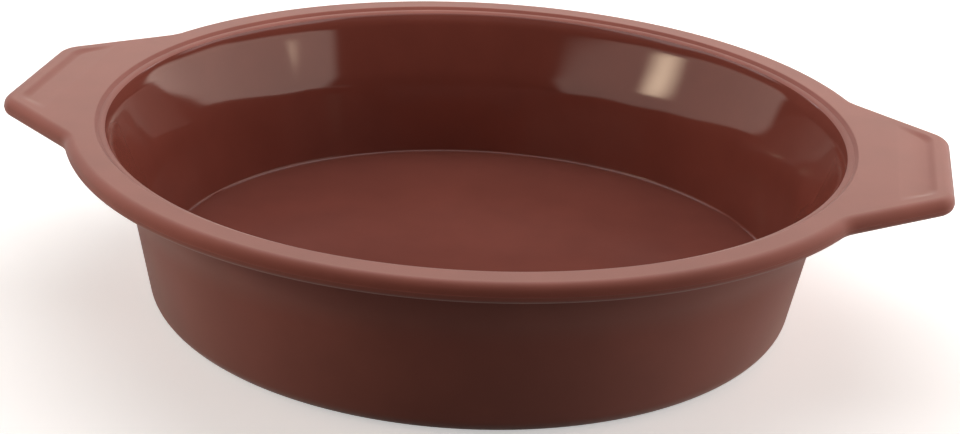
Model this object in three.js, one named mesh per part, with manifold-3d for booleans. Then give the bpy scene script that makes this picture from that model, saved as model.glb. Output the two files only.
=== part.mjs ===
// Round silicone cake pan with a thick flat rim and two tab handles that bend at their roots.
// Millimetres, +Z up, origin on the table under the middle of the pan, handles along X.

import * as THREE from 'three';
import { mergeVertices } from 'three/addons/utils/BufferGeometryUtils.js';
import Module from 'manifold-3d';

const wasm = await Module();
wasm.setup();

// Driving dimensions of the bowl
const panHeight = 60.4;
const mouthRadius = 120;
const wallDraft = THREE.MathUtils.degToRad(10.6);
const kneeStart = 31.8;
const kneeRadius = 46;
const upperDraft = THREE.MathUtils.degToRad(21);
const lipRadius = 10.4;
const mouthTilt = THREE.MathUtils.degToRad(45);
const lipDepth = 8;
const wallThickness = 2.4;
const floorHeight = 8.4;
const floorThickness = 3.4;
const insideCornerRadius = 1;
const heelRadius = 6;
const heelCollar = 2;
const footWidth = 5;

// Driving dimensions of the rim
const ledgeWidth = 2.6;
const ledgeFall = 1;
const stepRun = 1.1;
const stepDepth = 1.05;
const flangeWidth = 9.9;
const rimThickness = 5.8;
const rimEdgeRadius = 2.1;

// Driving dimensions of the handles
const handleReach = 20;
const handleRootWidth = 90.4;
const handleTipWidth = 56.6;
const handleCornerRadius = 11;
const handleFilletRadius = 15;
const recessInset = 6;
const recessDepth = 0.8;

// Clearances: between neighbouring regions, and round the root that a handle bends about
const seamGap = 0.3;
const hingeGap = 0.3;
const rootOverlap = 0.1;

// Facets: round the pan, and on small curves
const panSegments = 72;
const arcStep = THREE.MathUtils.degToRad(12);
const kneeStep = THREE.MathUtils.degToRad(3);
const lipStep = THREE.MathUtils.degToRad(6);
const rimArcStep = THREE.MathUtils.degToRad(5);
const edgeSegments = 3;

// Limits and allowances: rounding as a share of what it rounds, overshoot of a cut, welding of points
const maxEdgeShare = 0.45;
const maxCornerShare = 0.8;
const cutMargin = 5;
const weldTolerance = 1e-4;

// Sizes that follow from the driving dimensions
const footHeight = floorHeight - floorThickness;
const ledgeHeight = panHeight - stepDepth;
const mouthHeight = ledgeHeight - ledgeFall;
const ledgeOuterRadius = mouthRadius + ledgeWidth;
const stepRadius = ledgeOuterRadius + stepRun;
const rimRadius = stepRadius + flangeWidth;
const rimBottom = panHeight - rimThickness;
const rimMiddle = panHeight - rimThickness / 2;
const edgeRadius = Math.min(rimEdgeRadius, maxEdgeShare * rimThickness);
const rootRadius = rimThickness / 2 + rootOverlap;
const hingeX = rimRadius + rootRadius + hingeGap;
const tipX = rimRadius + handleReach;

const point = (x, y) => new THREE.Vector2(x, y);
const polar = (angle, length) => point(Math.cos(angle) * length, Math.sin(angle) * length);

// Points along an arc, both ends included
function arc(centre, radius, from, to, step = arcStep) {
  const count = Math.max(2, Math.ceil(Math.abs(to - from) / step));
  const points = [];
  for (let i = 0; i <= count; i += 1) {
    points.push(centre.clone().add(polar(from + ((to - from) * i) / count, radius)));
  }
  return points;
}

// A closed geometry as a solid for joining and cutting
function solid(geometry) {
  geometry.deleteAttribute('normal');
  geometry.deleteAttribute('uv');
  const merged = mergeVertices(geometry, weldTolerance);
  const vertProperties = new Float32Array(merged.attributes.position.array);
  const triVerts = new Uint32Array(merged.index.array);
  return new wasm.Manifold(new wasm.Mesh({ numProp: 3, vertProperties, triVerts }));
}

function geometryOf(body) {
  const mesh = body.getMesh();
  const geometry = new THREE.BufferGeometry();
  geometry.setAttribute('position', new THREE.BufferAttribute(mesh.vertProperties, mesh.numProp));
  geometry.setIndex(new THREE.BufferAttribute(mesh.triVerts, 1));
  return geometry;
}

// A profile of radius and height turned round the pan's axis
function turned(profile) {
  return new THREE.LatheGeometry(profile, panSegments).rotateX(Math.PI / 2);
}

const closed = (profile) => [...profile, profile[0]];

// Section of the bowl: a steep lower wall, a knee, a wider upper wall and a lip that rolls out to the mouth.
// Tilts are measured from upright, and a point on a curve lies at the half turn less its tilt.
const wallUp = point(Math.sin(wallDraft), Math.cos(wallDraft));
const wallOut = point(Math.cos(wallDraft), -Math.sin(wallDraft));
const upperUp = point(Math.sin(upperDraft), Math.cos(upperDraft));
const upperOut = point(Math.cos(upperDraft), -Math.sin(upperDraft));
const lipCentre = point(mouthRadius, mouthHeight).add(polar(-mouthTilt, lipRadius));
const lipFoot = lipCentre.clone().addScaledVector(upperOut, -lipRadius);
const onUpperInside = (height) => lipFoot.clone().addScaledVector(upperUp, (height - lipFoot.y) / upperUp.y);
const kneeTop = onUpperInside(kneeStart + kneeRadius * (upperUp.x - wallUp.x));
const kneeCentre = kneeTop.clone().addScaledVector(upperOut, kneeRadius);
const kneeFoot = kneeCentre.clone().addScaledVector(wallOut, -kneeRadius);
const wallLength = (kneeStart - floorHeight) / wallUp.y;
const onInside = (along) => kneeFoot.clone().addScaledVector(wallUp, along - wallLength);
const onOutside = (along) => onInside(along).addScaledVector(wallOut, wallThickness);

// The heel's two roundings touch the wall and a level face, and meet the wall this share of their radius up
const tangentShare = Math.tan((Math.PI / 2 - wallDraft) / 2);
const insideTangent = insideCornerRadius * tangentShare;
const outsideTangent = heelRadius * tangentShare;
const baseAlong = -onOutside(0).y / wallUp.y;
const baseRadius = onOutside(baseAlong).x;
const footOuterRadius = baseRadius - outsideTangent;
const footInnerRadius = footOuterRadius - footWidth;
const heelAlong = Math.max(insideTangent, baseAlong + outsideTangent) + heelCollar;

function floorPanel() {
  const radius = footInnerRadius - seamGap;
  return turned([
    point(0, footHeight),
    point(radius, footHeight),
    point(radius, floorHeight),
    point(0, floorHeight),
  ]);
}

function heelRing() {
  const insideCentre = point(onInside(0).x - insideTangent, floorHeight + insideCornerRadius);
  const outsideCentre = point(footOuterRadius, heelRadius);
  return turned(closed([
    point(footInnerRadius, 0),
    ...arc(outsideCentre, heelRadius, -Math.PI / 2, -wallDraft),
    onOutside(heelAlong),
    onInside(heelAlong),
    ...arc(insideCentre, insideCornerRadius, -wallDraft, -Math.PI / 2),
    point(footInnerRadius, floorHeight),
  ]));
}

// The wall between the heel and the lip, which parts from the lip on the upper wall
const lipSeam = onUpperInside(mouthHeight - lipDepth);

function sideWall() {
  const bottom = heelAlong + seamGap;
  const top = lipSeam.clone().addScaledVector(upperUp, -seamGap);
  return turned(closed([
    onOutside(bottom),
    ...arc(kneeCentre, kneeRadius - wallThickness, Math.PI - wallDraft, Math.PI - upperDraft, kneeStep),
    top.clone().addScaledVector(upperOut, wallThickness),
    top,
    ...arc(kneeCentre, kneeRadius, Math.PI - upperDraft, Math.PI - wallDraft, kneeStep),
    onInside(bottom),
  ]));
}

function innerLip() {
  const outerEdge = ledgeOuterRadius - seamGap;
  const outerHeight = ledgeHeight - (ledgeFall * seamGap) / ledgeWidth;
  const outside = lipSeam.clone().addScaledVector(upperOut, wallThickness);
  return turned(closed([
    outside,
    outside.clone().addScaledVector(upperUp, (rimBottom - outside.y) / upperUp.y),
    point(outerEdge, rimBottom),
    point(outerEdge, outerHeight),
    ...arc(lipCentre, lipRadius, Math.PI - mouthTilt, Math.PI - upperDraft, lipStep),
    lipSeam,
  ]));
}

// Plan outline of one handle, from its lower to its upper root on the rim, for the handle along +X
function handleOutline() {
  const root = point(rimRadius, handleRootWidth / 2);
  const tip = point(tipX, handleTipWidth / 2);
  const along = tip.clone().sub(root).normalize();
  const outward = point(-along.y, along.x);
  const sideAngle = outward.angle();
  const corner = Math.min(handleCornerRadius, maxCornerShare * tip.y);
  const cornerX = tipX - corner;
  const cornerY = root.y + (along.y / along.x) * (cornerX - root.x) - corner / outward.y;
  const offset = outward.dot(root) + handleFilletRadius;
  const reach = Math.sqrt((rimRadius + handleFilletRadius) ** 2 - offset ** 2);
  const fillet = outward.clone().multiplyScalar(offset).addScaledVector(along, reach);
  const upper = [
    ...arc(point(cornerX, cornerY), corner, 0, sideAngle),
    ...arc(fillet, handleFilletRadius, sideAngle + Math.PI, fillet.angle() + Math.PI),
  ];
  const lower = upper.map((p) => point(p.x, -p.y)).reverse();
  return { points: [...lower, ...upper], rootAngle: fillet.angle() };
}

// The whole rim with both handles as one plate with rounded edges, before it is cut into its pieces
function rimPlate() {
  const { points, rootAngle } = handleOutline();
  const rimArc = arc(point(0, 0), rimRadius, rootAngle, Math.PI - rootAngle, rimArcStep).slice(1, -1);
  const half = [...points, ...rimArc];
  const outline = [...half, ...half.map((p) => p.clone().negate())];
  const plate = new THREE.ExtrudeGeometry(new THREE.Shape(outline), {
    depth: rimThickness - 2 * edgeRadius,
    bevelThickness: edgeRadius,
    bevelSize: edgeRadius,
    bevelOffset: -edgeRadius,
    bevelSegments: edgeSegments,
  });
  return solid(plate.translate(0, 0, rimBottom + edgeRadius));
}

// Everything beyond a hinge line along Y, with a round root of the given radius about it
function beyondHinge(radius) {
  const far = tipX + cutMargin;
  const tall = rimThickness;
  const profile = [
    point(far, -tall),
    point(far, tall),
    point(hingeX, tall),
    ...arc(point(hingeX, 0), radius, Math.PI / 2, (3 * Math.PI) / 2),
    point(hingeX, -tall),
  ];
  const width = 2 * (handleRootWidth + cutMargin);
  const block = new THREE.ExtrudeGeometry(new THREE.Shape(profile), { depth: width, bevelEnabled: false });
  return solid(block.rotateX(Math.PI / 2).translate(0, width / 2, rimMiddle));
}

// The space inside the rim, with the sloped step down to the outer edge of the ledge
function rimOpening() {
  return solid(turned([
    point(0, rimBottom - cutMargin),
    point(ledgeOuterRadius, rimBottom - cutMargin),
    point(ledgeOuterRadius, ledgeHeight),
    point(stepRadius, panHeight),
    point(stepRadius, panHeight + cutMargin),
    point(0, panHeight + cutMargin),
  ]));
}

const otherSide = (body) => body.rotate([0, 0, 180]);

function rimFlange(plate) {
  const handleCut = beyondHinge(rootRadius + hingeGap);
  return plate.subtract(rimOpening()).subtract(handleCut).subtract(otherSide(handleCut));
}

// Shallow recess in a handle's top, flush at the root and deepest at the tip
function handleRecess() {
  const flushX = hingeX + edgeRadius;
  const endX = tipX - recessInset;
  const taper = (handleRootWidth - handleTipWidth) / 2 / handleReach;
  const sideInset = recessInset * Math.hypot(1, taper);
  const halfWidth = (x) => handleTipWidth / 2 + taper * (tipX - x) - sideInset;
  const outline = new THREE.Shape([
    point(hingeX, -halfWidth(hingeX)),
    point(endX, -halfWidth(endX)),
    point(endX, halfWidth(endX)),
    point(hingeX, halfWidth(hingeX)),
  ]);
  const pocket = new THREE.ExtrudeGeometry(outline, { depth: cutMargin, bevelEnabled: false });
  const fall = recessDepth / (endX - flushX);
  const tilt = new THREE.Matrix4().makeShear(0, -fall, 0, 0, 0, 0);
  return solid(pocket.translate(-flushX, 0, 0).applyMatrix4(tilt).translate(flushX, 0, panHeight));
}

function handle(plate) {
  return plate.intersect(beyondHinge(rootRadius)).subtract(handleRecess());
}

// Assembly: one mesh for each moulded region
const plate = rimPlate();
const rightHandle = handle(plate);

const matte = { color: '#9a625a', roughness: 0.62, metalness: 0 };
const glossy = { color: '#7a443a', roughness: 0.3, metalness: 0 };

const pieces = [
  ['floor_panel', floorPanel(), glossy],
  ['heel_ring', heelRing(), glossy],
  ['side_wall', sideWall(), glossy],
  ['inner_lip', innerLip(), glossy],
  ['rim_flange', geometryOf(rimFlange(plate)), matte],
  ['left_handle', geometryOf(otherSide(rightHandle)), matte],
  ['right_handle', geometryOf(rightHandle), matte],
];

const pan = new THREE.Group();
for (const [name, geometry, finish] of pieces) {
  const mesh = new THREE.Mesh(geometry, new THREE.MeshStandardMaterial(finish));
  mesh.name = name;
  pan.add(mesh);
}

export default pan;
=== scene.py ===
"""Silicone cake pan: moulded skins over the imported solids, their three finishes, and a plain studio."""

import math
from collections import namedtuple

import bmesh
import bpy
import numpy as np
from mathutils import Matrix, Vector


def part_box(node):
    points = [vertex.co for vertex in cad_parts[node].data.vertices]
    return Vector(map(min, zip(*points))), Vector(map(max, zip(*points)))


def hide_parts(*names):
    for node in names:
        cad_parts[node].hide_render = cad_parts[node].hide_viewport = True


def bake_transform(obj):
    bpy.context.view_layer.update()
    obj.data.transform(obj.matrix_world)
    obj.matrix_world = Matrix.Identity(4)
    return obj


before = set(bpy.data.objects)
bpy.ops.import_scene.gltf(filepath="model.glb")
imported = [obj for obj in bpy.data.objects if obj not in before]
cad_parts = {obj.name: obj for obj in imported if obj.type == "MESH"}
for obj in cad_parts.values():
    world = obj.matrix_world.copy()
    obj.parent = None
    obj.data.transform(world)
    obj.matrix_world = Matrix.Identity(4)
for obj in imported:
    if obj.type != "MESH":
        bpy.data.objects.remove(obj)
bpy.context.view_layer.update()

MM = 0.001
DEG = math.pi / 180

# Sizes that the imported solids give
rim_low, rim_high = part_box("rim_flange")
floor_low, floor_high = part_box("floor_panel")
PAN_HEIGHT = rim_high.z
RIM_THICKNESS = rim_high.z - rim_low.z
RIM_RADIUS = rim_high.y
FLOOR_HEIGHT = floor_high.z
FOOT_HEIGHT = floor_low.z
TIP_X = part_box("right_handle")[1].x

# Section of the bowl: a steep lower wall, a knee, a wider upper wall and a rolled lip
MOUTH_RADIUS = 120 * MM
WALL_DRAFT = 10.6 * DEG
KNEE_HEIGHT = 31.8 * MM
KNEE_RADIUS = 46 * MM
UPPER_DRAFT = 21 * DEG
LIP_RADIUS = 10.4 * MM
LIP_TILT = 45 * DEG
WALL_THICKNESS = 2.4 * MM
INSIDE_CORNER_RADIUS = 1 * MM
HEEL_RADIUS = 6 * MM
FOOT_WIDTH = 5 * MM
FOOT_DRAFT = 0.6 * MM
FOOT_ROUNDING = 1 * MM
NECK_ROUNDING = 1.5 * MM
NECK_MARGIN = 3.75 * MM
HUB_RADIUS = 2 * MM

# Section of the rim
LEDGE_WIDTH = 2.6 * MM
STEP_RUN = 1.1 * MM
STEP_DEPTH = 1.05 * MM
STEP_ROUNDING = 0.8 * MM
STEP_FOOT_ROUNDING = 0.3 * MM
STEP_MARGIN = 1.2 * MM
EDGE_RADIUS = 3 * MM
UNDER_EDGE_RADIUS = 2 * MM
PARTING_HEIGHT = 0.14 * MM
PARTING_WIDTH = 0.2 * MM

# Plan of the handles
HANDLE_ROOT_WIDTH = 90.4 * MM
HANDLE_TIP_WIDTH = 56.6 * MM
HANDLE_CORNER_RADIUS = 11 * MM
HANDLE_FILLET_RADIUS = 15 * MM
RECESS_INSET = 7 * MM
RECESS_DEPTH = 1 * MM
RECESS_SOFTNESS = 3.4 * MM
RECESS_CORNER = 3 * MM
RECESS_FLUSH_X = 136 * MM

# Where skins meet, and where the floor's weights fall off: a handle's skin starts on a straight seam, and
# the floor's weights fall off between two distances
SEAM_X = 133.6 * MM
DOME_EDGE_RADIUS = 95 * MM
DOME_TOP_RADIUS = 18 * MM
DOME_MARGIN = 1 * MM

# Places that follow from the sizes
RIM_BOTTOM = PAN_HEIGHT - RIM_THICKNESS
LEDGE_HEIGHT = PAN_HEIGHT - STEP_DEPTH
LEDGE_RADIUS = LEDGE_WIDTH / math.sin(LIP_TILT)
MOUTH_HEIGHT = LEDGE_HEIGHT - LEDGE_RADIUS * (1 - math.cos(LIP_TILT))
LEDGE_OUTER_RADIUS = MOUTH_RADIUS + LEDGE_WIDTH
STEP_RADIUS = LEDGE_OUTER_RADIUS + STEP_RUN

# Steps along the sections of the bowl and the rim
FLOOR_STEPS = 28
CORNER_STEPS = 12
WALL_STEPS = 8
KNEE_STEPS = 12
LIP_STEPS = 10
LEDGE_STEPS = 10
GLOSSY_LEDGE_STEPS = 2
STEP_STEPS = 6
PLATE_SHARES = (0, 0.35, 0.7, 0.97, 1)
EDGE_STEPS = 8
PARTING_STEPS = 8
NECK_STEPS = 8
HEEL_STEPS = 14
BASE_STEPS = 24

# Steps along the plan of the rim and the handles
RIM_STEPS = 180
FILLET_STEPS = 10
ROOT_STEPS = 12
SEAM_STEPS = 60
SIDE_STEPS = 28
TIP_CORNER_STEPS = 18
TIP_STEPS = 56
HANDLE_STEPS = 48
UNDER_STRIDE = 4

SAME_POINT = 1e-7
WELD_DISTANCE = 0.001 * MM

# Finishes, by their place in a piece's list of materials
GLOSSY, SATIN, MATTE = 0, 1, 2


# Curves in a plane

def arc(centre, radius, start, end, count):
    """Points on an arc, both ends included."""
    angles = np.linspace(start, end, count + 1)
    return np.column_stack([centre[0] + radius * np.cos(angles), centre[1] + radius * np.sin(angles)])


def line(start, end, count):
    """Points on a straight line, both ends included."""
    return np.linspace(start, end, count + 1)


def distinct(points):
    """Marks the points that differ from the one before them."""
    steps = np.linalg.norm(np.diff(points, axis=0), axis=1)
    return np.concatenate([[True], steps > SAME_POINT])


def chain(*curves):
    """Curves joined end to end, without the points that two of them share."""
    points = np.vstack(curves)
    return points[distinct(points)]


def rounded(corners, count):
    """A line through (x, y, radius) corners, each rounded to its radius."""
    corners = np.asarray(corners, float)
    shares = np.linspace(0, 1, count + 1)[:, None]
    curves = [corners[:1, :2]]
    for before, here, after in zip(corners[:-2], corners[1:-1], corners[2:]):
        back = (before - here)[:2] / np.linalg.norm((before - here)[:2])
        on = (after - here)[:2] / np.linalg.norm((after - here)[:2])
        half = math.acos(np.clip(back @ on, -1, 1)) / 2
        reach = here[2] / math.tan(half)
        centre = here[:2] + (back + on) / np.linalg.norm(back + on) * here[2] / math.sin(half)
        first = here[:2] + back * reach - centre
        last = here[:2] + on * reach - centre
        turn = math.pi - 2 * half
        curve = np.sin((1 - shares) * turn) * first + np.sin(shares * turn) * last
        curves.append(centre + curve / math.sin(turn))
    curves.append(corners[-1:, :2])
    return chain(*curves)


def eased(share):
    """A share between 0 and 1 with a soft start and end."""
    return share**2 * (3 - 2 * share)


# Section of the bowl, as radius and height

def wall_curves(inset):
    """The knee and the lip of the wall's face; inset is its distance out from the inside face."""
    lip_centre = (
        MOUTH_RADIUS + LIP_RADIUS * math.cos(LIP_TILT),
        MOUTH_HEIGHT - LIP_RADIUS * math.sin(LIP_TILT),
    )
    lip_foot = (
        lip_centre[0] - LIP_RADIUS * math.cos(UPPER_DRAFT),
        lip_centre[1] + LIP_RADIUS * math.sin(UPPER_DRAFT),
    )
    knee_top_height = KNEE_HEIGHT + KNEE_RADIUS * (math.sin(UPPER_DRAFT) - math.sin(WALL_DRAFT))
    knee_top_radius = lip_foot[0] - (lip_foot[1] - knee_top_height) * math.tan(UPPER_DRAFT)
    knee_centre = (
        knee_top_radius + KNEE_RADIUS * math.cos(UPPER_DRAFT),
        knee_top_height - KNEE_RADIUS * math.sin(UPPER_DRAFT),
    )
    knee = arc(knee_centre, KNEE_RADIUS - inset, math.pi - WALL_DRAFT, math.pi - UPPER_DRAFT, KNEE_STEPS)
    lip = arc(lip_centre, LIP_RADIUS - inset, math.pi - UPPER_DRAFT, math.pi - LIP_TILT, LIP_STEPS)
    return knee, lip


def inside_section():
    """From near the middle of the floor out and up, over the mouth's edge to the first of the ledge."""
    knee, lip = wall_curves(0)
    foot = knee[0]
    corner_radius = foot[0] - (foot[1] - FLOOR_HEIGHT) * math.tan(WALL_DRAFT)
    floor = rounded([
        (HUB_RADIUS, FLOOR_HEIGHT, 0),
        (corner_radius, FLOOR_HEIGHT, INSIDE_CORNER_RADIUS),
        (*foot, 0),
    ], CORNER_STEPS)
    flat = line(floor[0], floor[1], FLOOR_STEPS)
    straight = line(floor[-2], foot, WALL_STEPS)
    upper = line(knee[-1], lip[0], WALL_STEPS)
    return chain(flat, floor[1:-1], straight, knee, upper, lip, ledge_section()[:GLOSSY_LEDGE_STEPS + 1])


def ledge_section():
    """From the mouth's edge over the round ledge to its crown."""
    centre = (LEDGE_OUTER_RADIUS, LEDGE_HEIGHT - LEDGE_RADIUS)
    return arc(centre, LEDGE_RADIUS, math.pi / 2 + LIP_TILT, math.pi / 2, LEDGE_STEPS)


def step_section():
    """From the matte part of the ledge up the step to the flange's top."""
    ledge = ledge_section()
    step = rounded([
        (*ledge[-2], 0),
        (LEDGE_OUTER_RADIUS, LEDGE_HEIGHT, STEP_FOOT_ROUNDING),
        (STEP_RADIUS, PAN_HEIGHT, STEP_ROUNDING),
        (STEP_RADIUS + STEP_MARGIN, PAN_HEIGHT, 0),
    ], STEP_STEPS)
    return chain(ledge[GLOSSY_LEDGE_STEPS:-1], step)


def outside_section():
    """From under the flange down the outside to near the middle of the base."""
    knee, lip = wall_curves(WALL_THICKNESS)
    neck = lip[0] + (RIM_BOTTOM - lip[0][1]) * np.array([math.tan(UPPER_DRAFT), 1])
    foot = knee[0]
    base_radius = foot[0] - foot[1] * math.tan(WALL_DRAFT)
    ring_radius = base_radius - HEEL_RADIUS * math.tan((math.pi / 2 - WALL_DRAFT) / 2) - FOOT_WIDTH
    under_rim = rounded([
        (neck[0] + NECK_MARGIN, RIM_BOTTOM, 0),
        (*neck, NECK_ROUNDING),
        (*lip[0], 0),
    ], NECK_STEPS)
    heel = rounded([
        (*foot, 0),
        (base_radius, 0, HEEL_RADIUS),
        (ring_radius, 0, FOOT_ROUNDING),
        (ring_radius - FOOT_DRAFT, FOOT_HEIGHT, FOOT_ROUNDING),
        (HUB_RADIUS, FOOT_HEIGHT, 0),
    ], HEEL_STEPS)
    upper = line(lip[0], knee[-1], WALL_STEPS)
    straight = line(foot, heel[1], WALL_STEPS)
    base = line(heel[-2], heel[-1], BASE_STEPS)
    return chain(under_rim, upper, knee[::-1], straight, heel[1:-1], base)


def edge_section():
    """Offset outwards and height over the rim's rounded edge and its parting line, from top to underside."""
    side = -PARTING_HEIGHT
    top_centre = (side - EDGE_RADIUS, PAN_HEIGHT - EDGE_RADIUS)
    top = arc(top_centre, EDGE_RADIUS, math.pi / 2, 0, EDGE_STEPS)
    bottom_centre = (side - UNDER_EDGE_RADIUS, RIM_BOTTOM + UNDER_EDGE_RADIUS)
    bottom = arc(bottom_centre, UNDER_EDGE_RADIUS, 0, -math.pi / 2, EDGE_STEPS)
    middle = (top[-1][1] + bottom[0][1]) / 2
    rises = line(2 * PARTING_WIDTH, -2 * PARTING_WIDTH, PARTING_STEPS)
    ridge = side + PARTING_HEIGHT * np.exp(-((rises / (PARTING_WIDTH / 2)) ** 2))
    return chain(top, np.column_stack([ridge, middle + rises]), bottom, [(top[0][0], RIM_BOTTOM)])


# Plan of the rim with its handles, as points with outward normals

def handle_side():
    """The upper side of the handle along +X: its root point, its direction and its outward normal."""
    root = np.array([RIM_RADIUS, HANDLE_ROOT_WIDTH / 2])
    tip = np.array([TIP_X, HANDLE_TIP_WIDTH / 2])
    along = (tip - root) / np.linalg.norm(tip - root)
    return root, along, np.array([-along[1], along[0]])


def turned_plan(centre, radius, start, end, count, hollow=False):
    points = arc(centre, radius, start, end, count)
    normals = (points - centre) / radius
    return points, -normals if hollow else normals


def straight_plan(start, end, normal, count):
    return line(start, end, count), np.tile(normal, (count + 1, 1))


def joined_plan(*stretches):
    points = np.vstack([stretch[0] for stretch in stretches])
    normals = np.vstack([stretch[1] for stretch in stretches])
    kept = distinct(points)
    return points[kept], normals[kept]


def seam_point():
    """Where the seam leaves the handle's upper side, on the outline."""
    root, along, outward = handle_side()
    outline_x = SEAM_X + (EDGE_RADIUS + PARTING_HEIGHT) * outward[0]
    return root + along * (outline_x - root[0]) / along[0]


def handle_plan():
    """The handle's outline beyond the seam, from its lower side round the tip to its upper side."""
    root, along, outward = handle_side()
    angle = math.atan2(outward[1], outward[0])
    corner_x = TIP_X - HANDLE_CORNER_RADIUS
    side_y = root[1] + along[1] / along[0] * (corner_x - root[0])
    corner = np.array([corner_x, side_y - HANDLE_CORNER_RADIUS / outward[1]])
    seam = seam_point()
    flip = np.array([1, -1])
    side_end = corner + HANDLE_CORNER_RADIUS * outward
    tip_end = corner + [HANDLE_CORNER_RADIUS, 0]
    return joined_plan(
        straight_plan(seam * flip, side_end * flip, outward * flip, SIDE_STEPS),
        turned_plan(corner * flip, HANDLE_CORNER_RADIUS, -angle, 0, TIP_CORNER_STEPS),
        straight_plan(tip_end * flip, tip_end, np.array([1.0, 0.0]), TIP_STEPS),
        turned_plan(corner, HANDLE_CORNER_RADIUS, 0, angle, TIP_CORNER_STEPS),
        straight_plan(side_end, seam, outward, SIDE_STEPS),
    )


def rim_plan():
    """The rim's outline from the right handle's seam round the far side to the left handle's seam."""
    root, along, outward = handle_side()
    angle = math.atan2(outward[1], outward[0])
    offset = outward @ root + HANDLE_FILLET_RADIUS
    reach = math.sqrt((RIM_RADIUS + HANDLE_FILLET_RADIUS) ** 2 - offset**2)
    fillet = outward * offset + along * reach
    fillet_angle = math.atan2(fillet[1], fillet[0])
    flip = np.array([-1, 1])
    side = straight_plan(seam_point(), fillet - HANDLE_FILLET_RADIUS * outward, outward, ROOT_STEPS)
    curve = turned_plan(
        fillet, HANDLE_FILLET_RADIUS, angle + math.pi, fillet_angle + math.pi, FILLET_STEPS, hollow=True
    )
    rim = turned_plan((0, 0), RIM_RADIUS, fillet_angle, math.pi - fillet_angle, RIM_STEPS)
    mirrored = [(points[::-1] * flip, normals[::-1] * flip) for points, normals in (curve, side)]
    return joined_plan(side, curve, rim, *mirrored)


# Meshes

def add_object(name, data):
    thing = bpy.data.objects.new(name, data)
    bpy.context.scene.collection.objects.link(thing)
    return thing


class Skin:
    """Points and faces of one piece, gathered grid by grid."""

    def __init__(self):
        self.points = []
        self.faces = []
        self.finishes = []
        self.cuts = []
        self.count = 0

    def put(self, grid):
        """Adds a grid of points, rows by columns, and returns their numbers in the same grid."""
        grid = np.asarray(grid, float)
        numbers = np.arange(self.count, self.count + grid.shape[0] * grid.shape[1])
        self.points.append(grid.reshape(-1, 3))
        self.count += numbers.size
        return numbers.reshape(grid.shape[:2])

    def cover(self, grid, finish, closed=False):
        """Quads between the neighbouring rows and columns of a grid of point numbers."""
        if closed:
            grid = np.column_stack([grid, grid[:, :1]])
        corners = [grid[:-1, :-1], grid[1:, :-1], grid[1:, 1:], grid[:-1, 1:]]
        quads = np.stack(corners, axis=-1).reshape(-1, 4)
        self.faces.extend(quads.tolist())
        self.finishes.extend([finish] * len(quads))

    def polygon(self, numbers, finish):
        self.faces.append([int(number) for number in numbers])
        self.finishes.append(finish)

    def fan(self, ring, apex, finish, outward):
        """Triangles between a closed ring of points and one point in its middle."""
        following = np.roll(ring, -1)
        for here, after in zip(ring, following):
            self.polygon([apex, here, after] if outward else [here, apex, after], finish)

    def close_cuts(self, finish):
        """Closes each cut through the rim, between its two lines and inside the edge at each end."""
        for cut, ends in self.cuts:
            self.cover(self.put(cut), finish)
            for end in ends:
                self.polygon(self.put([end])[0], finish)

    def build(self, name, materials):
        """The piece, welded where points of its skin meet; the closed cuts keep points of their own."""
        skin_count = self.count
        self.close_cuts(MATTE)
        mesh = bpy.data.meshes.new(name)
        mesh.from_pydata(np.vstack(self.points).tolist(), [], self.faces)
        for material in materials:
            mesh.materials.append(material)
        mesh.polygons.foreach_set("material_index", self.finishes)
        mesh.polygons.foreach_set("use_smooth", [True] * len(mesh.polygons))
        welded = bmesh.new()
        welded.from_mesh(mesh)
        welded.verts.ensure_lookup_table()
        bmesh.ops.remove_doubles(welded, verts=welded.verts[:skin_count], dist=WELD_DISTANCE)
        welded.to_mesh(mesh)
        welded.free()
        mesh.update()
        return add_object(name, mesh)


def at_height(points, height):
    return np.column_stack([points, np.full(len(points), height)])


def edge_rows(points, normals):
    """Rows of points over the rounded edge of a plan, from its top to its underside."""
    return np.array([at_height(points + normals * out, height) for out, height in edge_section()])


def ring_rows(directions, section):
    """Rows of points round the pan, one at each radius and height of a section."""
    return np.array([at_height(directions * radius, height) for radius, height in section])


def plate_rows(directions, inner_radius, outline, height):
    """Rows of points across the flat of the rim, from a ring out to an outline."""
    rows = [(1 - share) * directions * inner_radius + share * outline for share in PLATE_SHARES]
    return np.array([at_height(row, height) for row in rows])


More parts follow.
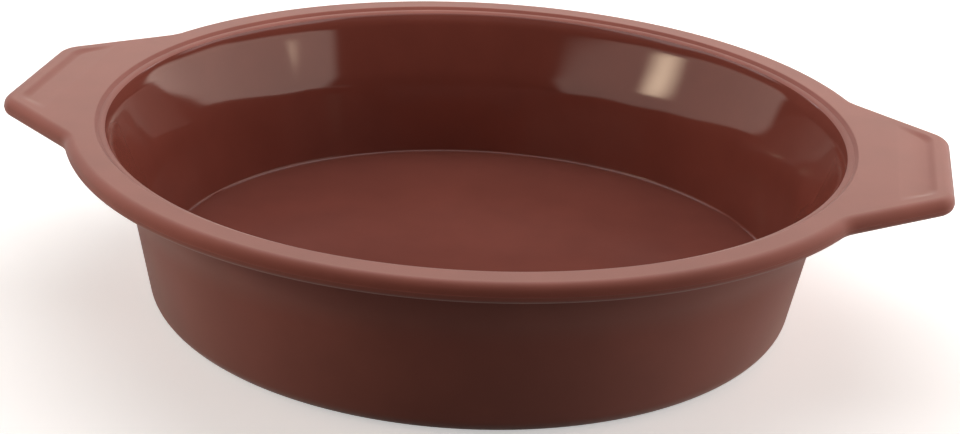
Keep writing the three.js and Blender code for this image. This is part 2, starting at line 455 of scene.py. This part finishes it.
def pan_skin(materials):
    """Bowl and rim as one skin, cut straight across at each handle's root."""
    skin = Skin()
    points, normals = rim_plan()
    columns = len(points)
    half_edge = edge_rows(points, normals)
    half_turn = np.array([-1, -1, 1])
    edges = np.concatenate([half_edge, half_edge * half_turn], axis=1)

    # The flat's outline: the far half of the rim, the left seam, and both again half a turn on
    half_line = half_edge[0, :, :2]
    seam = line(half_line[-1], -half_line[0], SEAM_STEPS)
    half_outline = np.vstack([half_line, seam[1:-1]])
    outline = np.vstack([half_outline, -half_outline])
    angles = np.arctan2(outline[:, 1], outline[:, 0])
    directions = np.column_stack([np.cos(angles), np.sin(angles)])
    on_rim = np.concatenate([np.arange(columns), np.arange(columns) + len(half_outline)])

    inside = ring_rows(directions, inside_section())
    step = ring_rows(directions, step_section())
    outside = ring_rows(directions, outside_section())
    top_plate = plate_rows(directions, step_section()[-1][0], outline, PAN_HEIGHT)
    under_plate = plate_rows(directions, outside_section()[0][0], outline, RIM_BOTTOM)[::-1]

    inside_grid = skin.put(inside)
    upper_grid = skin.put(np.concatenate([step[1:], top_plate[1:]]))
    lower_grid = skin.put(np.concatenate([under_plate, outside[1:]]))
    edge_grid = skin.put(edges[1:-1])
    middle = skin.put([[(0, 0, FLOOR_HEIGHT), (0, 0, FOOT_HEIGHT)]])[0]

    skin.fan(inside_grid[0], middle[0], SATIN, outward=True)
    skin.cover(inside_grid[:FLOOR_STEPS + 1], SATIN, closed=True)
    skin.cover(inside_grid[FLOOR_STEPS:], GLOSSY, closed=True)
    skin.cover(np.vstack([inside_grid[-1:], upper_grid]), MATTE, closed=True)
    skin.cover(lower_grid, MATTE, closed=True)
    skin.fan(lower_grid[-1], middle[1], MATTE, outward=False)
    edge_grid = np.vstack([upper_grid[-1:, on_rim], edge_grid, lower_grid[:1, on_rim]])
    for half in (edge_grid[:, :columns], edge_grid[:, columns:]):
        skin.cover(half, MATTE)
    cut = np.array([at_height(seam, PAN_HEIGHT), at_height(seam, RIM_BOTTOM)])
    ends = [half_edge[:, -1], half_edge[::-1, 0] * half_turn]
    skin.cuts = [(cut, ends), (cut * half_turn, [end * half_turn for end in ends])]
    return skin.build("pan_skin", materials)


def recess_depth(x, y):
    """Depth of the handle's shallow panel, soft at its sides and flush towards the rim."""
    root, _, outward = handle_side()
    side = outward @ root - (outward[0] * x + outward[1] * np.abs(y)) - RECESS_INSET
    tip = TIP_X - RECESS_INSET - x
    nearest = np.minimum(side, tip)
    corner = np.maximum(RECESS_CORNER - np.abs(side - tip), 0) ** 2 / (4 * RECESS_CORNER)
    share = np.clip((nearest - corner) / RECESS_SOFTNESS + 0.5, 0, 1)
    ramp = np.clip((x - RECESS_FLUSH_X) / (TIP_X - RECESS_INSET - RECESS_FLUSH_X), 0, 1)
    return RECESS_DEPTH * ramp * eased(share)


def handle_skin(name, side, materials):
    """One handle beyond its straight seam; side is 1 for +X and -1 for -X."""
    skin = Skin()
    points, normals = handle_plan()
    edges = edge_rows(points, normals)
    rim_line = edges[0, :, :2]
    seam = line(rim_line[0], rim_line[-1], len(points) - 1)
    shares = line(0, 1, HANDLE_STEPS)[:, None, None]
    top = (1 - shares) * seam + shares * rim_line
    heights = PAN_HEIGHT - recess_depth(top[..., 0], top[..., 1])
    top = np.concatenate([top, heights[..., None]], axis=-1)
    under = np.array([at_height(row, RIM_BOTTOM) for row in top[::-UNDER_STRIDE, :, :2]])
    facing = np.array([side, side, 1])
    grid = skin.put(np.concatenate([top, edges[1:-1], under]) * facing)
    skin.cover(grid, MATTE)
    cut = np.array([at_height(seam, RIM_BOTTOM), at_height(seam, PAN_HEIGHT)])
    skin.cuts = [(cut * facing, [edges[::-1, 0] * facing, edges[:, -1] * facing])]
    return skin.build(name, materials)


def dome_weights(piece):
    """How far each point follows the floor: all the way in its middle, not at all on the wall."""
    places = np.array([vertex.co for vertex in piece.data.vertices])
    distance = np.hypot(places[:, 0], places[:, 1])
    share = np.clip((DOME_EDGE_RADIUS - distance) / (DOME_EDGE_RADIUS - DOME_TOP_RADIUS), 0, 1)
    share[places[:, 2] > FLOOR_HEIGHT + DOME_MARGIN] = 0
    return eased(share)


# Shader nodes

def node_material(name):
    """A new material with its node tree and its shader."""
    material = bpy.data.materials.new(name)
    material.use_nodes = True
    return material, material.node_tree, material.node_tree.nodes["Principled BSDF"]


def map_range(tree, value, start, end, low, high, interpolation="LINEAR"):
    """Turns values from start to end into values from low to high."""
    node = tree.nodes.new("ShaderNodeMapRange")
    node.interpolation_type = interpolation
    for socket, setting in (("From Min", start), ("From Max", end), ("To Min", low), ("To Max", high)):
        node.inputs[socket].default_value = setting
    tree.links.new(value, node.inputs["Value"])
    return node.outputs["Result"]


def combined(tree, operation, first, second):
    node = tree.nodes.new("ShaderNodeMath")
    node.operation = operation
    tree.links.new(first, node.inputs[0])
    tree.links.new(second, node.inputs[1])
    return node.outputs["Value"]


def object_place(tree):
    return tree.nodes.new("ShaderNodeTexCoord").outputs["Object"]


# Materials: noise scales are per metre

GLOSSY_COLOUR = (0.22, 0.061, 0.045)
MATTE_COLOUR = (0.35, 0.107, 0.081)
SILICONE_IOR = 1.42
SHEEN_ROUGHNESS = 0.5
NOISE_LOW, NOISE_HIGH = 0.3, 0.7
MOTTLE_SCALE, MOTTLE_DETAIL, MOTTLE_SHARE = 45, 4, 0.06
GLOSS_SCALE, GLOSS_DETAIL, GLOSS_SHARE = 30, 5, 0.1
WAVE_SCALE, WAVE_DETAIL = 22, 1
GRAIN_SCALE, GRAIN_DETAIL = 2200, 2


def silicone(name, colour, gloss, roughness, grain, wave, sheen):
    """Moulded silicone: faint mottling, uneven gloss, and grain and slow waves of the given heights."""
    material, tree, shader = node_material(name)
    shader.inputs["IOR"].default_value = SILICONE_IOR
    shader.inputs["Specular IOR Level"].default_value = gloss
    shader.inputs["Sheen Weight"].default_value = sheen
    shader.inputs["Sheen Roughness"].default_value = SHEEN_ROUGHNESS
    place = object_place(tree)

    def noise(scale, detail):
        node = tree.nodes.new("ShaderNodeTexNoise")
        node.inputs["Scale"].default_value = scale
        node.inputs["Detail"].default_value = detail
        tree.links.new(place, node.inputs["Vector"])
        return node.outputs["Fac"]

    def spread(value, low, high):
        return map_range(tree, value, NOISE_LOW, NOISE_HIGH, low, high)

    def bump(height, distance):
        node = tree.nodes.new("ShaderNodeBump")
        node.inputs["Distance"].default_value = distance
        node.inputs["Strength"].default_value = 1
        tree.links.new(height, node.inputs["Height"])
        return node

    tint = tree.nodes.new("ShaderNodeMix")
    tint.data_type = "RGBA"
    tint.inputs["A"].default_value = [part * (1 - MOTTLE_SHARE) for part in colour] + [1]
    tint.inputs["B"].default_value = [part * (1 + MOTTLE_SHARE) for part in colour] + [1]
    tree.links.new(spread(noise(MOTTLE_SCALE, MOTTLE_DETAIL), 0, 1), tint.inputs["Factor"])
    tree.links.new(tint.outputs["Result"], shader.inputs["Base Color"])
    smooth, rough = roughness * (1 - GLOSS_SHARE), roughness * (1 + GLOSS_SHARE)
    tree.links.new(spread(noise(GLOSS_SCALE, GLOSS_DETAIL), smooth, rough), shader.inputs["Roughness"])
    waves = bump(noise(WAVE_SCALE, WAVE_DETAIL), wave)
    grains = bump(noise(GRAIN_SCALE, GRAIN_DETAIL), grain)
    tree.links.new(waves.outputs["Normal"], grains.inputs["Normal"])
    tree.links.new(grains.outputs["Normal"], shader.inputs["Normal"])
    return material


# Studio: the camera was fitted to the photo, and lights and walls are in metres

CAMERA_AZIMUTH = 8.9 * DEG
CAMERA_ELEVATION = 22.56 * DEG
CAMERA_ROLL = 2.938 * DEG
CAMERA_DISTANCE = 668 * MM
CAMERA_AIM = (0.688 * MM, -32.92 * MM)
CAMERA_NEAR = 10 * MM
FOCAL_PIXELS = 2035.2
PHOTO_WIDTH = 960
SENSOR_WIDTH = 36

WHITE = (1, 1, 1, 1)
NEUTRAL = (1, 1, 1)
WARM = (1, 0.82, 0.72)
BULB = (1, 0.78, 0.55)

SKY_FADE_START, SKY_FADE_END = 0.28, 0.42

TABLE_REACH = 6
TABLE_COLOUR = (0.95, 0.95, 0.95, 1)
TABLE_ROUGHNESS = 0.9
# Painted shadow for bounced light: the floor's colour is black up to the first distance and rises to the
# bounce by the second
PAINTED_SHADOW_FADE_START, PAINTED_SHADOW_FADE_END = 0.16, 0.3
GLOW_START, GLOW_END = 0.4, 1

ROOM_RADIUS = 2
ROOM_HEIGHT = 2.5
ROOM_WALLS = 24
ROOM_COLOUR = (0.03, 0.03, 0.03, 1)

# The glow of a bulb through a panel's cloth: its offsets along the panel and up, its reach to the sides,
# its reach up and down, and its radiance
HotSpot = namedtuple("HotSpot", "along above across up peak")


def photo_camera():
    data = bpy.data.cameras.new("camera")
    data.sensor_width = SENSOR_WIDTH
    data.lens = FOCAL_PIXELS * SENSOR_WIDTH / PHOTO_WIDTH
    data.clip_start = CAMERA_NEAR
    camera = add_object("camera", data)
    turn = Matrix.Rotation(CAMERA_AZIMUTH, 4, "Z")
    tilt = Matrix.Rotation(math.pi / 2 - CAMERA_ELEVATION, 4, "X")
    roll = Matrix.Rotation(CAMERA_ROLL, 4, "Z")
    move = Matrix.Translation((*CAMERA_AIM, CAMERA_DISTANCE))
    camera.matrix_world = Matrix.Translation((0, 0, PAN_HEIGHT)) @ turn @ tilt @ roll @ move
    bpy.context.scene.camera = camera


def studio_place(azimuth, distance, height):
    """A point at an azimuth counted from the camera's side, to the right, round the pan."""
    angle = azimuth * DEG + CAMERA_AZIMUTH
    return Vector((math.sin(angle) * distance, -math.cos(angle) * distance, height))


def softbox(name, place, width, height, radiance, tint, corner, softness, hot_spot=None):
    """A cloth panel aimed at the pan, with round corners and soft edges; radiance 1 shows as white."""
    data = bpy.data.lights.new(name, "AREA")
    data.shape = "RECTANGLE"
    data.size = width
    data.size_y = height
    data.energy = math.pi * width * height
    data.use_nodes = True
    tree = data.node_tree

    def vector(operation, first, second=(0, 0, 0)):
        node = tree.nodes.new("ShaderNodeVectorMath")
        node.operation = operation
        tree.links.new(first, node.inputs[0])
        node.inputs[1].default_value = second
        return node.outputs["Value" if operation == "LENGTH" else "Vector"]

    def fade(distance, start, end, strength):
        return map_range(tree, distance, start, end, strength, 0, "SMOOTHSTEP")

    share = tree.nodes.new("ShaderNodeNewGeometry").outputs["Parametric"]
    on_cloth = vector("MULTIPLY", vector("SUBTRACT", share, (0.5, 0.5, 0)), (width, height, 0))
    inner = (width / 2 - corner, height / 2 - corner, 0)
    past_inner = vector("MAXIMUM", vector("SUBTRACT", vector("ABSOLUTE", on_cloth), inner))
    glow = fade(vector("LENGTH", past_inner), corner - softness, corner, radiance)
    emission = tree.nodes["Emission"]
    emission.inputs["Color"].default_value = (*tint, 1)
    tree.links.new(glow, emission.inputs["Strength"])
    if hot_spot:
        bulb = tree.nodes.new("ShaderNodeEmission")
        bulb.inputs["Color"].default_value = (*BULB, 1)
        from_bulb = vector("SUBTRACT", on_cloth, (hot_spot.along, hot_spot.above, 0))
        away = vector("LENGTH", vector("MULTIPLY", from_bulb, (1 / hot_spot.across, 1 / hot_spot.up, 0)))
        tree.links.new(fade(away, 0, 1, hot_spot.peak), bulb.inputs["Strength"])
        both = tree.nodes.new("ShaderNodeAddShader")
        tree.links.new(emission.outputs["Emission"], both.inputs[0])
        tree.links.new(bulb.outputs["Emission"], both.inputs[1])
        tree.links.new(both.outputs["Shader"], tree.nodes["Light Output"].inputs["Surface"])

    lamp = add_object(name, data)
    lamp.location = place
    lamp.visible_camera = False
    lamp.rotation_euler = (Vector((0, 0, PAN_HEIGHT)) - place).to_track_quat("-Z", "Y").to_euler()


def seen_directly(tree):
    """1 for rays that show the background: from the camera, off a gloss or through glass."""
    path = tree.nodes.new("ShaderNodeLightPath")
    total = path.outputs["Is Camera Ray"]
    for kind in ("Is Glossy Ray", "Is Transmission Ray"):
        total = combined(tree, "MAXIMUM", total, path.outputs[kind])
    return total


def white_world(ambient, overhead):
    """White round the horizon and darker overhead where it is seen, and a weak even light elsewhere."""
    world = bpy.data.worlds.new("studio")
    bpy.context.scene.world = world
    world.use_nodes = True
    tree = world.node_tree
    background = tree.nodes["Background"]
    background.inputs["Color"].default_value = WHITE
    direction = tree.nodes.new("ShaderNodeSeparateXYZ")
    tree.links.new(tree.nodes.new("ShaderNodeTexCoord").outputs["Generated"], direction.inputs["Vector"])
    sky = map_range(tree, direction.outputs["Z"], SKY_FADE_START, SKY_FADE_END, 1, overhead)
    strength = tree.nodes.new("ShaderNodeMapRange")
    strength.inputs["To Min"].default_value = ambient
    tree.links.new(seen_directly(tree), strength.inputs["Value"])
    tree.links.new(sky, strength.inputs["To Max"])
    tree.links.new(strength.outputs["Result"], background.inputs["Strength"])


def table_top(bounce, glow):
    """A pale floor: it shows white with the pan's shadow; to bounced light it is black near the pan, a
    painted shadow, and further out it sends some light back.
    """
    mesh = bpy.data.meshes.new("floor")
    corners = [(x * TABLE_REACH, y * TABLE_REACH, 0) for x, y in ((-1, -1), (1, -1), (1, 1), (-1, 1))]
    mesh.from_pydata(corners, [], [(0, 1, 2, 3)])
    table = add_object("floor", mesh)
    material, tree, shader = node_material("floor")
    shader.inputs["Roughness"].default_value = TABLE_ROUGHNESS
    shader.inputs["Specular IOR Level"].default_value = 0
    shader.inputs["Emission Color"].default_value = WHITE
    distance = tree.nodes.new("ShaderNodeVectorMath")
    distance.operation = "LENGTH"
    tree.links.new(object_place(tree), distance.inputs[0])
    away = distance.outputs["Value"]
    seen = seen_directly(tree)
    colour = tree.nodes.new("ShaderNodeMix")
    colour.data_type = "RGBA"
    colour.inputs["B"].default_value = TABLE_COLOUR
    # For bounced light the floor is black near the pan, a painted shadow, and reaches the bounce further out
    tree.links.new(map_range(tree, away, PAINTED_SHADOW_FADE_START, PAINTED_SHADOW_FADE_END, 0, bounce), colour.inputs["A"])
    tree.links.new(seen, colour.inputs["Factor"])
    tree.links.new(colour.outputs["Result"], shader.inputs["Base Color"])
    shine = map_range(tree, away, GLOW_START, GLOW_END, glow, 1)
    tree.links.new(combined(tree, "MULTIPLY", seen, shine), shader.inputs["Emission Strength"])
    mesh.materials.append(material)


def dark_room():
    """Unlit walls round the studio, which only reflections and shading see."""
    mesh = bpy.data.meshes.new("dark_room")
    azimuths = np.arange(ROOM_WALLS) * 360 / ROOM_WALLS
    low = [studio_place(azimuth, ROOM_RADIUS, 0) for azimuth in azimuths]
    high = [studio_place(azimuth, ROOM_RADIUS, ROOM_HEIGHT) for azimuth in azimuths]
    faces = []
    for here in range(ROOM_WALLS):
        after = (here + 1) % ROOM_WALLS
        faces.append((here, after, after + ROOM_WALLS, here + ROOM_WALLS))
    mesh.from_pydata([*low, *high], [], faces)
    walls = add_object("dark_room", mesh)
    material, _, shader = node_material("dark_room")
    shader.inputs["Base Color"].default_value = ROOM_COLOUR
    shader.inputs["Roughness"].default_value = 1
    mesh.materials.append(material)
    walls.visible_camera = False


# Skins in place of the imported solids

finishes = [
    silicone(
        "silicone_gloss", GLOSSY_COLOUR, gloss=0.5, roughness=0.08,
        grain=0.003 * MM, wave=1.4 * MM, sheen=0,
    ),
    silicone(
        "silicone_satin", GLOSSY_COLOUR, gloss=0.08, roughness=0.18,
        grain=0.003 * MM, wave=0.6 * MM, sheen=0.05,
    ),
    silicone(
        "silicone_matte", MATTE_COLOUR, gloss=0.05, roughness=0.5,
        grain=0.02 * MM, wave=0.1 * MM, sheen=0.62,
    ),
]

pan = pan_skin(finishes)
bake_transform(pan)
# Weights for a dome from the floor's edge to its middle are worked out here, but nothing keeps them
dome_weights(pan).astype(np.float32)
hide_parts("rim_flange", "inner_lip", "side_wall", "heel_ring", "floor_panel")

for side, body, node in ((1, "right_tab", "right_handle"), (-1, "left_tab", "left_handle")):
    handle = handle_skin(node + "_skin", side, finishes)
    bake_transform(handle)
    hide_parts(node)

# Light and surroundings

photo_camera()
white_world(ambient=0.01, overhead=0.15)
table_top(bounce=0.2, glow=0.45)
dark_room()
softbox(
    "key_panel", studio_place(180, 0.25, 0.7), width=1.15, height=0.65,
    radiance=1.95, tint=NEUTRAL, corner=0.1, softness=0.1,
)
softbox(
    "rim_panel", studio_place(180, 1, 0.75), width=1.1, height=0.3,
    radiance=3.5, tint=NEUTRAL, corner=0.1, softness=0.1,
)
softbox(
    "low_panel", studio_place(75, 0.5, 0.07), width=0.5, height=0.12,
    radiance=1.7, tint=WARM, corner=0.06, softness=0.04,
)
softbox(
    "right_panel", studio_place(102, 0.55, 0.23), width=1.14, height=0.42,
    radiance=2.55, tint=WARM, corner=0.18, softness=0.09,
    hot_spot=HotSpot(along=-0.3, above=0.038, across=0.032, up=0.014, peak=8),
)
softbox(
    "left_panel", studio_place(-78, 0.55, 0.24), width=1.34, height=0.4,
    radiance=1.7, tint=WARM, corner=0.18, softness=0.1,
    hot_spot=HotSpot(along=0.06, above=0.032, across=0.11, up=0.04, peak=16),
)

bpy.context.scene.view_settings.view_transform = "Standard"
